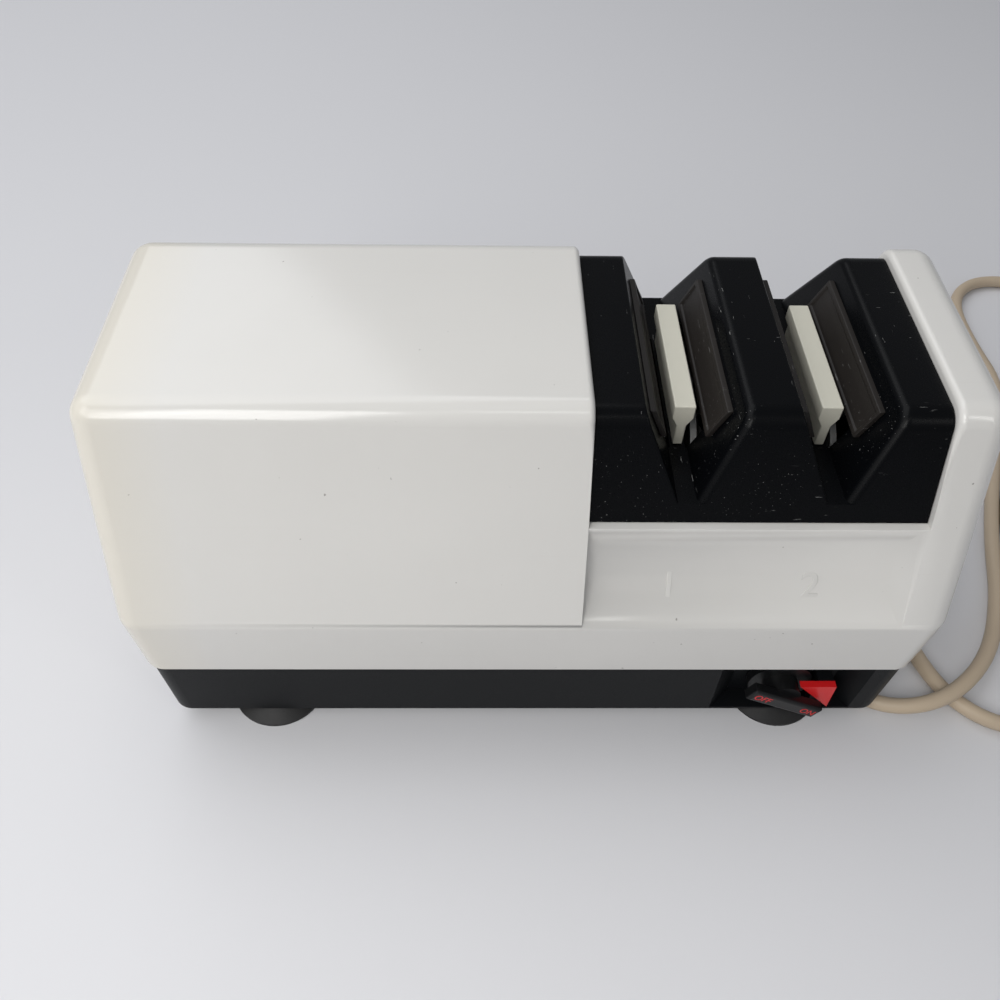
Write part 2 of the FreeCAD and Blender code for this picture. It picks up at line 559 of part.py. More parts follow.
def make_coil():
    """Bobbin round the stator's lower leg, and the copper wound on it."""
    right = "stack_left + stack_length"
    leg = box("stack_left - 0.1", f"{right} + 0.1", "stack_low - 0.1", "window_low + 0.1")
    sleeve = box("stack_left - bobbin_wall", f"{right} + bobbin_wall", "stack_low - bobbin_wall", "window_low + bobbin_wall")
    flange = box("stack_left - coil_overhang - 1", f"{right} + coil_overhang + 1", "stack_low - 11", "window_high - 0.5")
    wound = box("stack_left - coil_overhang", f"{right} + coil_overhang", "stack_low - 10", "window_high - 1.5")
    bobbin = new_body("coil_bobbin")
    add_pad(bobbin, "XZ", "-window_half + 0.4", "window_half - 0.4", [sleeve])
    for sign in (-1, 1):
        spot = f"{sign}*(window_half - 0.4 - bobbin_wall/2)"
        add_pad(bobbin, "XZ", f"{spot} - bobbin_wall/2", f"{spot} + bobbin_wall/2", [flange])
    add_pocket(bobbin, "XZ", "-window_half", "window_half", [leg])
    winding = new_body("coil_winding")
    reach = "window_half - 0.5 - bobbin_wall"
    add_pad(winding, "XZ", f"-({reach})", reach, [wound])
    add_fillet(winding, "2", lambda edge: edge.BoundBox.YLength > 20)
    hollow = box("stack_left - bobbin_wall - 0.1", f"{right} + bobbin_wall + 0.1",
                 "stack_low - bobbin_wall - 0.1", "window_low + bobbin_wall + 0.1")
    add_pocket(winding, "XZ", "-window_half", "window_half", [hollow])


def make_rotor():
    """Rotor, fan and the long shaft that carries the grinding disks."""
    rotor = new_body("motor_rotor")
    outer = "bore_radius - air_gap"
    add_turned(rotor, [[("0", "shaft_radius"), ("0", outer), ("stack_length", outer), ("stack_length", outer + " - 2"),
                        ("stack_length + 4", outer + " - 2"), ("stack_length + 4", "shaft_radius + 4"),
                        ("stack_length", "shaft_radius + 4"), ("stack_length", "shaft_radius")]])
    place(rotor, "stack_left", "0", "shaft_height")
    shaft = new_body("drive_shaft")
    add_turned(shaft, [box("0", "post_place + post_width + 0.5 - fan_place", "0", "shaft_radius")])
    for middle in ("notch_one", "notch_two"):
        for sign in (-1, 1):
            spot = f"{middle} + {sign}*(disk_offset + hub_length + pin_gap + pin_radius) - fan_place"
            add_pocket(shaft, "XY", "-shaft_radius - 1", "shaft_radius + 1", [("circle", spot, "0", "pin_radius")])
    place(shaft, "fan_place", "0", "shaft_height")
    fan = new_body("cooling_fan")
    add_turned(fan, [[("0", "shaft_radius"), ("0", "fan_radius"), ("1.2", "fan_radius"), ("1.2", "shaft_radius + 4"),
                      ("fan_width", "shaft_radius + 4"), ("fan_width", "shaft_radius")]])
    blade = fan.newObject("PartDesign::Pad", "fan_blade")
    blade.Profile = add_sketch(fan, "YZ", "1", [box("shaft_radius + 2", "fan_radius - 0.5", "-0.6", "0.6")])
    bind(blade, Length="fan_width - 1")
    blades = fan.newObject("PartDesign::PolarPattern", "fan_blades")
    blades.Originals = [blade]
    blades.Axis = (blade.Profile[0], ["N_Axis"])
    blades.Angle = 360.0
    blades.Occurrences = 11
    fan.Tip = blades
    place(fan, "fan_place", "0", "shaft_height")
    pins = []
    for number, middle in ((1, "notch_one"), (2, "notch_two")):
        for sign in (-1, 1):
            pin = doc.addObject("Part::Cylinder", f"drive_pin_{number}_{'left' if sign < 0 else 'right'}")
            bind(pin, Radius="pin_radius", Height="2*pin_reach",
                 Placement__Base__x=f"{middle} + {sign}*(disk_offset + hub_length + pin_gap + pin_radius)",
                 Placement__Base__z="shaft_height - pin_reach")
            pins.append(pin)
    join("drive_pins", pins)


def make_brackets():
    """Bearing brackets on both faces of the stator, with sleeve bearings and through bolts."""
    ends = {"rear": ("stack_left", -1), "front": ("stack_left + stack_length", 1)}
    for name, (face, sign) in ends.items():
        body = new_body(f"{name}_bracket")
        legs = [box(f"{s}*bolt_reach - bracket_foot", f"{s}*bolt_reach + bracket_foot", "-bracket_rise", "bracket_rise")
                for s in (-1, 1)]
        add_pad(body, "YZ", "0", "bracket_stand + 0.5", legs)
        add_pad(body, "YZ", "bracket_stand", "bracket_stand + bracket_plate",
                [box("-bolt_reach - bracket_foot", "bolt_reach + bracket_foot", "-bracket_rise", "bracket_rise")])
        add_pad(body, "YZ", "bracket_stand - 1", "bracket_stand - 1 + bearing_length", [("circle", "0", "0", "boss_radius")])
        add_pocket(body, "YZ", "0", "bracket_stand + bearing_length", [("circle", "0", "0", "bearing_radius")])
        bolts = [("circle", f"{s}*bolt_reach", "0", "bolt_radius + bolt_gap") for s in (-1, 1)]
        add_pocket(body, "YZ", "-1", "bracket_stand + bearing_length", bolts)
        turned_round = "180" if sign < 0 else "0"
        place(body, face, "0", "shaft_height", axis=(0, 0, 1), turn=turned_round)
        make_sleeve(f"{name}_bearing", f"{face} + {sign}*(bracket_stand - 1) + {(sign - 1)//2}*bearing_length",
                    "bearing_length")
    shanks = []
    for sign in (-1, 1):
        shank = doc.addObject("Part::Cylinder", "bolt_shank")
        head = doc.addObject("Part::Cylinder", "bolt_head")
        nut = doc.addObject("Part::Cylinder", "bolt_nut")
        stand = "(bracket_stand + bracket_plate)"
        spots = {shank: (f"stack_left - {stand} - 2", "bolt_radius", f"stack_length + 2*({stand}) + 4"),
                 head: (f"stack_left - ({stand}) - 2.6", "bolt_radius*1.8", "2.6"),
                 nut: (f"stack_left + stack_length + {stand}", "bolt_radius*1.8", "2.6")}
        for thing, (start, radius, length) in spots.items():
            thing.Placement = FreeCAD.Placement(FreeCAD.Vector(), FreeCAD.Rotation(FreeCAD.Vector(0, 1, 0), 90))
            bind(thing, Radius=radius, Height=length, Placement__Base__x=start,
                 Placement__Base__y=f"{sign}*bolt_reach", Placement__Base__z="shaft_height")
            shanks.append(thing)
    join("bracket_bolts", shanks)


def make_sleeve(label, start, length):
    """Plain bearing sleeve on the shaft line."""
    body = new_body(label)
    add_turned(body, [box("0", length, "shaft_radius + run_gap", "bearing_radius - 0.02")])
    place(body, start, "0", "shaft_height")


def make_end_post():
    """Post on the base that holds the right end of the shaft."""
    body = new_body("end_post")
    foot = "floor_top + 0.02"
    add_pad(body, "YZ", "post_place", "post_place + post_width",
            [[("-14", foot), ("14", foot), ("9", "shaft_height + 4"), ("5", "shaft_height + 9"),
              ("-5", "shaft_height + 9"), ("-9", "shaft_height + 4")]])
    add_pocket(body, "YZ", "post_place - 1", "post_place + post_width + 1", [("circle", "0", "shaft_height", "bearing_radius")])
    make_sleeve("end_bearing", "post_place", "post_width")


# The grinding disks

def make_disks():
    """Two dished disks a stage, pushed apart by a spring against the drive pins."""
    outline = [("0", "disk_radius"), ("disk_dish", "hub_seat"), ("disk_dish", "shaft_radius + run_gap"),
               ("hub_length", "shaft_radius + run_gap"), ("hub_length", "disk_hub"),
               ("disk_dish + disk_sheet", "disk_hub"), ("disk_dish + disk_sheet", "hub_seat"),
               ("disk_sheet", "disk_radius")]
    for number, middle in ((1, "notch_one"), (2, "notch_two")):
        for side, sign in (("left", -1), ("right", 1)):
            body = new_body(f"grinding_disk_{number}_{side}")
            add_turned(body, [outline])
            place(body, f"{middle} + {sign}*disk_offset", "0", "shaft_height", axis=(0, 0, 1),
                  turn="180" if sign < 0 else "0")


def coil_wire(radius_at, height_at, turns, per_turn=4):
    """Wire through arcs, each a fraction of a turn, about the Z axis."""
    def spot(turn):
        angle = -math.pi/2 - math.tau*turn
        return FreeCAD.Vector(radius_at(turn)*math.cos(angle), radius_at(turn)*math.sin(angle), height_at(turn))
    steps = round(turns*per_turn)
    edges = []
    for i in range(steps):
        start, end = i/per_turn, (i + 1)/per_turn
        edges.append(Part.Arc(spot(start), spot((start + end)/2), spot(end)).toShape())
    return edges


def tube(edges, radius):
    """Solid tube along joined edges."""
    path = Part.Wire(edges)
    first = edges[0]
    start = first.valueAt(first.FirstParameter)
    heading = first.tangentAt(first.FirstParameter)
    ring = Part.Wire([Part.Circle(start, heading, radius).toShape()])
    shell = Part.BRepOffsetAPI.MakePipeShell(path)
    shell.add(ring)
    shell.build()
    shell.makeSolid()
    return shell.shape()


def make_springs():
    """Compression spring between the two disks of a stage."""
    length = 2*(size("disk_offset") + size("disk_dish")) - 2*size("spring_wire") - 0.2
    turns = 3.5
    radius = size("spring_coil")
    edges = coil_wire(lambda turn: radius, lambda turn: (turn/turns - 0.5)*length, turns)
    shape = tube(edges, size("spring_wire"))
    for number, middle in ((1, "notch_one"), (2, "notch_two")):
        spring = doc.addObject("Part::Feature", f"disk_spring_{number}")
        spring.Shape = shape
        spring.Label = f"disk_spring_{number}"
        spring.Placement = FreeCAD.Placement(FreeCAD.Vector(size(middle), 0, size("shaft_height")),
                                             FreeCAD.Rotation(FreeCAD.Vector(0, 1, 0), 90))


# The switch

def make_switch():
    """Bar-grip knob in the recess, its shaft and the switch behind the wall, and the red mark."""
    knob = new_body("switch_knob")
    back = "recess_floor + 0.6"
    add_pad(knob, "XY", back, f"{back} + 2.6", [("circle", "0", "0", "knob_radius")])
    grip = [(f"{sx}*grip_reach*cos(grip_tilt) - {sy}*grip_half*sin(grip_tilt)",
             f"{sx}*grip_reach*sin(grip_tilt) + {sy}*grip_half*cos(grip_tilt)") for sx, sy in ((-1, -1), (1, -1), (1, 1), (-1, 1))]
    add_pad(knob, "XY", f"{back} + 2.1", "knob_nose - grip_depth + 0.5", [("circle", "0", "0", "knob_boss")])
    add_pad(knob, "XY", "knob_nose - grip_depth", "knob_nose", [grip])
    nose = size("knob_nose")
    add_fillet(knob, "1", lambda edge: mid(edge).z > nose - 0.5)
    knob.Placement.Rotation = FreeCAD.Rotation(FreeCAD.Vector(1, 0, 0), 90)
    bind(knob, Placement__Base__x="knob_x", Placement__Base__z="knob_z")
    shaft = new_body("switch_shaft")
    add_pad(shaft, "XY", "recess_floor - tray_wall - 5", "recess_floor + 0.6", [("circle", "0", "0", "shaft_radius")])
    shaft.Placement.Rotation = FreeCAD.Rotation(FreeCAD.Vector(1, 0, 0), 90)
    bind(shaft, Placement__Base__x="knob_x", Placement__Base__z="knob_z")
    block = new_body("switch_body")
    back_wall = "-recess_floor + tray_wall + 0.1"
    add_pad(block, "XZ", back_wall, f"{back_wall} + 13",
            [box("knob_x - 12", "knob_x + 12", "floor_top + 3.2", "knob_z + 9")])
    add_pocket(block, "XZ", f"{back_wall} - 1", f"{back_wall} + 7", [("circle", "knob_x", "knob_z", "shaft_radius + 0.4")])
    mark = new_body("switch_indicator")
    add_pad(mark, "XZ", "mark_face - skirt_depth/2", "mark_face + mark_thick - skirt_depth/2",
            [[("knob_x + 4.5", "knob_z + 3.5"), ("knob_x + 15.4", "knob_z - 8.5"), ("knob_x + 14.9", "knob_z + 3.5")]])


# The lead

def make_relief():
    """Tapered strain relief clipped in the rear wall of the base."""
    body = new_body("strain_relief")
    wall = "rear_wall"
    outline = [("0", f"{wall} - tray_wall - 2.5"), ("cord_radius + 4", f"{wall} - tray_wall - 2.5"),
               ("cord_radius + 4", f"{wall} - tray_wall - 0.6"), ("cord_radius + 2", f"{wall} - tray_wall - 0.6"),
               ("cord_radius + 2", f"{wall} + 0.2"), ("cord_radius + 3.6", f"{wall} + 0.2"),
               ("cord_radius + 3.6", f"{wall} + 1.8"), ("cord_radius + 2.4", f"{wall} + 2.4"),
               ("cord_radius + 0.5", f"{wall} + relief_length"), ("0", f"{wall} + relief_length")]
    add_turned(body, [outline], axis="V_Axis", plane="XY")
    place(body, "cord_exit_x", "0", "cord_exit_z")


# Route of the lead from the strain relief, by hand, to the put-away coil
ROUTE = [(70, 86, 18), (71, 100, 9.5), (76.5, 115, 2.4), (91, 130, 2.4), (112.5, 130.5, 2.4), (128, 116, 2.4),
         (131.5, 82, 2.4), (125, 36, 2.4), (120.5, -8, 2.4), (125.5, -39, 2.4), (140, -54, 2.4), (160, -54, 2.4),
         (174, -40, 2.4), (172, -12, 2.4), (169, 12, 2.4), (179, 42, 2.4), (203, 73, 2.4), (231, 105, 2.4),
         (242, 130, 2.4), (240.5, 150, 2.4), (226.5, 165, 2.4), (207, 164, 2.4), (194, 149, 2.4), (193, 122, 2.4),
         (196, 92, 2.4), (178, 52, 2.4), (165, 18, 2.4), (158, -9, 2.4), (142.5, -35.5, 8.6), (123.7, -49.3, 7.4),
         (105.3, -47.4, 2.4), (93.3, -33.7, 2.4), (93, -8, 2.4), (97, 20, 2.4), (98, 45, 2.4),
         (90, 64, 2.4), (70, 72, 2.4), (50, 70.5, 2.4)]


def rounded_path(points):
    """Straight runs joined by tangent arcs as large as their runs allow."""
    spots = [FreeCAD.Vector(*point) for point in points]
    edges, here, tightest = [], spots[0], 1e9
    for before, corner, after in zip(spots, spots[1:], spots[2:]):
        to_before, to_after = before - corner, after - corner
        shorter = min(to_before.Length, to_after.Length)
        half_turn = (math.pi - to_before.getAngle(to_after))/2
        tangent = 0.45*shorter
        tightest = min(tightest, tangent/math.tan(half_turn))
        into, out = to_before.normalize(), to_after.normalize()
        start, end = corner + into*tangent, corner + out*tangent
        radius = tangent/math.tan(half_turn)
        middle_way = (into + out).normalize()
        middle = corner + middle_way*(radius/math.cos(half_turn) - radius)
        if (start - here).Length > 0.01:
            edges.append(Part.LineSegment(here, start).toShape())
        edges.append(Part.Arc(start, middle, end).toShape())
        here = end
    edges.append(Part.LineSegment(here, spots[-1]).toShape())
    print(f"lead: {sum(edge.Length for edge in edges):.0f} mm, tightest arc {tightest:.1f} mm")
    return edges


def make_lead():
    """Loose lead, its put-away coil and the plug."""
    tip = (size("cord_exit_x"), size("rear_wall") + size("relief_length"), size("cord_exit_z"))
    start = (size("coil_x") + size("coil_lead"), size("coil_y") - size("coil_radius"), size("cord_radius"))
    edges = rounded_path([tip] + ROUTE + [start])
    lead = doc.addObject("Part::Feature", "power_cord")
    lead.Label = "power_cord"
    lead.Shape = tube(edges, size("cord_radius"))
    section = math.pi*size("cord_radius")**2
    print(f"lead volume over section times length: {lead.Shape.Volume/(section*sum(e.Length for e in edges)):.4f}")
    make_put_away_coil()
    make_plug()


def make_put_away_coil():
    """Round coil of four turns in two layers, one unbroken tube."""
    turns = 4
    outer, pitch = size("coil_radius"), size("coil_pitch")
    low, step = size("cord_radius"), size("coil_layer")

    def radius_at(turn):
        return outer - pitch*min(turn, turns - turn)

    def height_at(turn):
        climb = min(max((turn - turns/2)/0.5 + 0.5, 0), 1)
        return low + step*(3*climb**2 - 2*climb**3)

    edges = coil_wire(radius_at, height_at, turns, per_turn=4)
    first, last = edges[0].Vertexes[0].Point, edges[-1].Vertexes[-1].Point
    lead_in, lead_out = FreeCAD.Vector(size("coil_lead"), 0, 0), FreeCAD.Vector(-size("plug_lead"), 0, 0)
    edges = [Part.LineSegment(first + lead_in, first).toShape(), *edges,
             Part.LineSegment(last, last + lead_out).toShape()]
    coil = doc.addObject("Part::Feature", "cord_coil")
    coil.Label = "cord_coil"
    coil.Shape = tube(edges, size("cord_radius"))
    coil.Placement = FreeCAD.Placement(FreeCAD.Vector(size("coil_x"), size("coil_y"), 0), FreeCAD.Rotation())
    print(f"coil: {sum(edge.Length for edge in edges):.0f} mm of lead, "
          f"least gap to itself {own_gap(radius_at, height_at, turns):.2f} mm")


def own_gap(radius_at, height_at, turns):
    """Least gap between the coil's turns, measured on points of its middle line."""
    count = 48
    spots = []
    for i in range(turns*count + 1):
        turn = i/count
        angle = math.tau*turn
        spots.append((radius_at(turn)*math.cos(angle), radius_at(turn)*math.sin(angle), height_at(turn)))
    pairs = ((a, b) for i, a in enumerate(spots) for b in spots[i + count//2:])
    return min(math.dist(a, b) for a, b in pairs) - 2*size("cord_radius")


def make_plug():
    """Two-blade plug lying on the table at the end of the coil."""
    body = new_body("plug_body")
    height = "cord_radius + coil_layer"
    neck, back = "-11", "-10"
    add_turned(body, [[("0", "0"), ("0", "cord_radius + 0.8"), (neck, "cord_radius + 2.6"), (neck, "0")]])
    add_pad(body, "YZ", f"{back} - plug_length", back, [box("-plug_half", "plug_half", f"-({height}) + 0.05", "7")])
    add_fillet(body, "2.5", lambda edge: edge.BoundBox.XLength > 20 and abs(mid(edge).y) > 5)
    place(body, "coil_x - plug_lead", "coil_y - coil_radius", height)
    blades = []
    for sign in (-1, 1):
        blade = doc.addObject("Part::Box", "plug_blade")
        bind(blade, Length="blade_length", Width="1.5", Height="6.4",
             Placement__Base__x=f"coil_x - plug_lead + {back} - plug_length - blade_length",
             Placement__Base__y=f"coil_y - coil_radius + {sign}*blade_reach - 0.75",
             Placement__Base__z=f"{height} - 3.2")
        blades.append(blade)
    join("plug_blades", blades)


make_cover()
make_tray()
make_feet()
make_base_screws()
make_module()
make_centre_guides()
make_magnet_guides()
make_stator()
make_coil()
make_rotor()
make_brackets()
make_end_post()
make_disks()
make_springs()
make_switch()
make_relief()
make_lead()
doc.recompute()

# Pieces are the bodies and finished booleans with a name of their own
NODES = ["upper_cover", "base_tray", "guide_housing", "base_screws", "center_guide_1", "center_guide_2",
         "motor_stator", "coil_bobbin", "coil_winding", "motor_rotor", "drive_shaft", "cooling_fan", "drive_pins",
         "rear_bracket", "front_bracket", "rear_bearing", "front_bearing", "bracket_bolts", "end_post", "end_bearing",
         "disk_spring_1", "disk_spring_2", "switch_knob", "switch_shaft", "switch_body", "switch_indicator",
         "strain_relief", "power_cord", "cord_coil", "plug_body", "plug_blades"]
NODES += [f"suction_foot_{depth}_{side}" for depth in ("front", "rear") for side in ("left", "right")]
NODES += [f"{kind}_{number}_{side}" for kind in ("magnet_guide", "grinding_disk") for number in (1, 2) for side in ("left", "right")]

failed = [thing.Name for thing in doc.Objects if {"Invalid", "Error"} & set(thing.State)]
if failed:
    raise RuntimeError(f"failed: {failed}")
pieces = {}
for node in NODES:
    piece = doc.getObjectsByLabel(node)[0]
    if piece.Shape.isNull() or not piece.Shape.isValid():
        raise RuntimeError(f"bad shape: {node}")
    pieces[node] = piece
os.makedirs("parts", exist_ok=True)
for node, piece in pieces.items():
    piece.Shape.exportStep(f"parts/{node}.step")
    span = piece.Shape.BoundBox
    print(f"{node}: {len(piece.Shape.Solids)} solid, {piece.Shape.Volume/1000:.2f} cm3, "
          f"x {span.XMin:.1f} {span.XMax:.1f} y {span.YMin:.1f} {span.YMax:.1f} z {span.ZMin:.1f} {span.ZMax:.1f}")
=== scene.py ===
# %% [markdown]
# # A two-stage electric knife sharpener
# The sharpener is a glossy off-white shell on a charcoal base, with a black guide module
# let into its right half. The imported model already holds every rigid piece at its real
# size, so this script loads it, gives each piece its finish, adds the small relief that
# only the eye needs, and lays the mains lead as one soft curve.

# %% Load the frame
import json
import math

import bmesh
import bpy
from mathutils import Matrix, Vector
from mathutils.bvhtree import BVHTree


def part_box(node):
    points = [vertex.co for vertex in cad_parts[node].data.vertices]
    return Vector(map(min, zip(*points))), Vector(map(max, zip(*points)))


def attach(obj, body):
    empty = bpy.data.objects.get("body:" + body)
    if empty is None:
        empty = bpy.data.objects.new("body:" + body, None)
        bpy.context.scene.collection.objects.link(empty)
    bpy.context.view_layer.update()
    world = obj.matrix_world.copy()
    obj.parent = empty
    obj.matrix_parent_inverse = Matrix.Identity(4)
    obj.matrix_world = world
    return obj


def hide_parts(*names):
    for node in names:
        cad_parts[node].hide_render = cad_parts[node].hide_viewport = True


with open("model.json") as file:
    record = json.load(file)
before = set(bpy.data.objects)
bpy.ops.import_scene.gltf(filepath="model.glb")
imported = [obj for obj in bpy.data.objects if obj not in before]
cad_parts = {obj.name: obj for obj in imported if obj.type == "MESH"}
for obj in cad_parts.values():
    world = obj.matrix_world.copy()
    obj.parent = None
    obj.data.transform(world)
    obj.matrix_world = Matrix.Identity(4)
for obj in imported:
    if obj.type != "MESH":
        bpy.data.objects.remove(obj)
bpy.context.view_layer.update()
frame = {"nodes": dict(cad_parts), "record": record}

nodes = frame["nodes"]
MM = 0.001
print(len(nodes), "nodes loaded")

# %% [markdown]
# ## The camera
# A phone held above the left half of the body, looking down at about fifty degrees. The
# place and the focal length were solved from the body's own edges, so the same outline
# falls on the same pixels. A short lens is what makes the near corner look so large.

# %% Camera
FOCAL_PIXELS = 911.4
PHOTO_WIDTH = 1000
SENSOR_WIDTH = 36
CAMERA_PLACE = Vector((-13.6, -175.3, 254.8))*MM
NEAR_CLIP = 10*MM
DEPRESSION = math.radians(50.32)
YAW = math.radians(1.65)
ROLL = math.radians(1.5)

forward = Vector((math.sin(YAW)*math.cos(DEPRESSION), math.cos(YAW)*math.cos(DEPRESSION),
                  -math.sin(DEPRESSION)))
level_right = Vector((math.cos(YAW), -math.sin(YAW), 0))
level_up = level_right.cross(forward)
right = math.cos(ROLL)*level_right + math.sin(ROLL)*level_up
up = math.cos(ROLL)*level_up - math.sin(ROLL)*level_right

camera_data = bpy.data.cameras.new("camera")
camera_data.sensor_width = SENSOR_WIDTH
camera_data.lens = FOCAL_PIXELS/PHOTO_WIDTH*SENSOR_WIDTH
camera_data.clip_start = NEAR_CLIP
camera = bpy.data.objects.new("camera", camera_data)
camera.matrix_world = Matrix((right, up, -forward)).transposed().to_4x4()
camera.location = CAMERA_PLACE
bpy.context.scene.collection.objects.link(camera)
bpy.context.scene.camera = camera
print("lens", round(camera_data.lens, 1), "mm")

# %% [markdown]
# ## The floor and the light
# The object stands on a plain pale sheet. Most of the light comes from the left: a large
# soft lamp behind it stands for the room, and a smaller one in front for the window. The
# right end falls off. A glossy bend mirrors whatever is above it, so two narrower panes in
# front are placed where they draw a streak along the shell's bent edge, and a small lamp
# over the front adds glints. The world lifts the shadows, or the notches would be black.

# %% Floor
def link(item):
    """Put a new object in the scene."""
    bpy.context.scene.collection.objects.link(item)
    return item


def node_tree(name):
    """Start an empty material and return it with its nodes and links."""
    material = bpy.data.materials.new(name)
    material.use_nodes = True
    tree = material.node_tree
    return material, tree.nodes, tree.links


FLOOR_COLOUR = (0.68, 0.68, 0.70, 1)
FLOOR_ROUGHNESS = 0.75
FLOOR_HALF = 3.0
FLOOR_GAP = 0.2*MM
floor_mesh = bpy.data.meshes.new("floor")
build = bmesh.new()
bmesh.ops.create_grid(build, x_segments=1, y_segments=1, size=FLOOR_HALF)
build.to_mesh(floor_mesh)
build.free()
floor = link(bpy.data.objects.new("floor", floor_mesh))
floor_material, items, wires = node_tree("floor_sheet")
sheet = items["Principled BSDF"]
sheet.inputs["Base Color"].default_value = FLOOR_COLOUR
sheet.inputs["Roughness"].default_value = FLOOR_ROUGHNESS
floor_mesh.materials.append(floor_material)
floor.location.z = -FLOOR_GAP
print("floor", 2*FLOOR_HALF, "m wide")


# %% Lamps
DAYLIGHT = (1.0, 0.99, 0.97)
SKYLIGHT = (0.97, 0.98, 1.0)
LAMPS = [  # name, place, aim, width, height, watts, colour
    ("window", (-0.47, -0.34, 0.48), (-0.02, 0, 0.04), 0.45, 0.36, 1.2, DAYLIGHT),
    ("pane", (-0.20, -0.40, 0.45), (-0.06, -0.03, 0.08), 0.18, 0.34, 1.25, DAYLIGHT),
    ("far_pane", (0.42, -0.42, 0.50), (0.09, -0.03, 0.07), 0.07, 0.22, 0.22, DAYLIGHT),
    ("ceiling", (0.10, -0.62, 1.15), (0.05, 0, 0.05), 0.30, 0.10, 0.35, DAYLIGHT),
    ("room", (-0.50, 0.42, 1.0), (-0.14, 0.10, 0), 1.2, 1.0, 7.0, SKYLIGHT),
]
WORLD_COLOUR = (0.90, 0.92, 0.96, 1)
WORLD_STRENGTH = 0.27


def add_lamp(name, place, aim, width, height, watts, colour):
    """Hang a rectangular lamp and point it."""
    lamp = bpy.data.lights.new(name, "AREA")
    lamp.shape = "RECTANGLE"
    lamp.size, lamp.size_y = width, height
    lamp.energy = watts
    lamp.color = colour
    holder = link(bpy.data.objects.new(name, lamp))
    holder.location = place
    holder.rotation_euler = (Vector(aim) - Vector(place)).to_track_quat("-Z", "Y").to_euler()


for settings in LAMPS:
    add_lamp(*settings)
world = bpy.data.worlds.new("room")
bpy.context.scene.world = world
world.use_nodes = True
backdrop = world.node_tree.nodes["Background"]
backdrop.inputs["Color"].default_value = WORLD_COLOUR
backdrop.inputs["Strength"].default_value = WORLD_STRENGTH
bpy.context.scene.view_settings.view_transform = "Standard"
print(len(LAMPS), "lamps")

# %% [markdown]
# ## Finishes
# Moulded plastic is never one flat colour. Each finish starts from a base colour, drifts a
# little in tone over centimetres and carries a fine grain in its roughness and bump. All of
# it reads Object coordinates, so nothing slides when a piece moves. Helpers come first: a
# noise, a ramp that turns it into tone, a mask of its rare peaks, one recipe for plain
# mouldings, and a way to lay a second colour over a finish.

# %% Material helpers
def noise(items, wires, scale, detail=3.0, stretch=(1, 1, 1), turn=(0, 0, 0)):
    """A noise pattern on Object coordinates; a larger stretch makes it finer that way."""
    place = items.new("ShaderNodeTexCoord")
    mapping = items.new("ShaderNodeMapping")
    mapping.inputs["Scale"].default_value = stretch
    mapping.inputs["Rotation"].default_value = turn
    texture = items.new("ShaderNodeTexNoise")
    texture.inputs["Scale"].default_value = scale
    texture.inputs["Detail"].default_value = detail
    wires.new(place.outputs["Object"], mapping.inputs["Vector"])
    wires.new(mapping.outputs["Vector"], texture.inputs["Vector"])
    return texture.outputs["Fac"]


def ramp(items, wires, source, stops):
    """Map a value through a colour ramp given as (position, colour)."""
    node = items.new("ShaderNodeValToRGB")
    node.color_ramp.elements[0].position, node.color_ramp.elements[0].color = stops[0]
    node.color_ramp.elements[1].position, node.color_ramp.elements[1].color = stops[-1]
    for position, colour in stops[1:-1]:
        node.color_ramp.elements.new(position).color = colour
    wires.new(source, node.inputs["Fac"])
    return node.outputs["Color"]


def grey(value):
    """A grey as a colour."""
    return (value, value, value, 1)


def tinted(colour, factor):
    """A colour made lighter or darker."""
    return (*(channel*factor for channel in colour[:3]), 1)


def peaks(items, wires, pattern, cut, fade, strength=1.0):
    """A mask that is dark below a cut and rises to its strength over a short fade."""
    return ramp(items, wires, pattern, [(0.0, grey(0)), (cut, grey(0)), (cut + fade, grey(strength))])


def multiplied(items, wires, first, second):
    """Two masks kept only where both are bright."""
    node = items.new("ShaderNodeMath")
    node.operation = "MULTIPLY"
    wires.new(first, node.inputs[0])
    wires.new(second, node.inputs[1])
    return node.outputs["Value"]


# %% Moulded finish
DRIFT_SCALE = 22.0
GRAIN_DEPTH = 0.1*MM
LOW, HIGH = 0.3, 0.7


def moulded(name, colour, roughness, grain=0.06, drift=0.06, bump=0.05, grain_scale=3500.0,
            specular=0.5, metallic=0.0):
    """Drifting tone, and a fine grain in the roughness and the bump."""
    material, items, wires = node_tree(name)
    shader = items["Principled BSDF"]
    shader.inputs["Specular IOR Level"].default_value = specular
    shader.inputs["Metallic"].default_value = metallic
    tone = ramp(items, wires, noise(items, wires, DRIFT_SCALE),
                [(LOW, tinted(colour, 1 - drift)), (HIGH, tinted(colour, 1 + drift))])
    wires.new(tone, shader.inputs["Base Color"])
    fine = noise(items, wires, grain_scale, 2.0)
    sheen = ramp(items, wires, fine, [(LOW, grey(roughness - grain)), (HIGH, grey(roughness + grain))])
    wires.new(sheen, shader.inputs["Roughness"])
    raised = items.new("ShaderNodeBump")
    raised.inputs["Strength"].default_value = bump
    raised.inputs["Distance"].default_value = GRAIN_DEPTH
    wires.new(fine, raised.inputs["Height"])
    wires.new(raised.outputs["Normal"], shader.inputs["Normal"])
    return material


def overlay(material, mask, colour):
    """Lay a second colour over a finish wherever a mask is bright."""
    items, wires = material.node_tree.nodes, material.node_tree.links
    socket = items["Principled BSDF"].inputs["Base Color"]
    under = socket.links[0].from_socket
    mix = items.new("ShaderNodeMix")
    mix.data_type = "RGBA"
    mix.inputs["B"].default_value = colour
    wires.new(mask, mix.inputs["Factor"])
    wires.new(under, mix.inputs["A"])
    wires.new(mix.outputs["Result"], socket)


